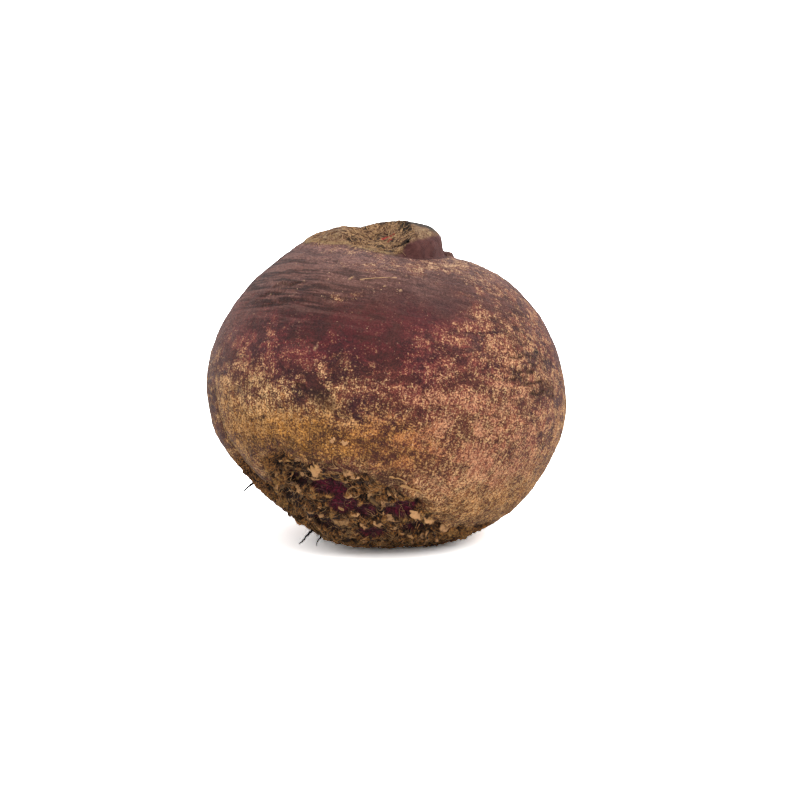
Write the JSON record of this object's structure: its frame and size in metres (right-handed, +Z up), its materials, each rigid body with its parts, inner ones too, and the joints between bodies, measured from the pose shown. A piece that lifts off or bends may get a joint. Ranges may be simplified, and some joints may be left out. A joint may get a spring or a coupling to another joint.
{
  "type": "beetroot",
  "caption": "Raw round beetroot, trimmed of leaves and tail, with a knobbly crown and a rough root end, resting on its flattened underside",
  "frame": {"origin": "on the surface the beetroot rests on, under the centre of its bounding box", "axes": "+Z up through the crown, +X to the right as seen from the front, +Y to the back; the trimmed root end is low on the front left"},
  "size_m": [0.09, 0.0852, 0.0807],
  "materials": {
    "skin": "matt, scurfy purple-brown beetroot skin with tan corky patches"
  },
  "bodies": {
    "root": {"beetroot": "skin"}
  },
  "joints": []
}
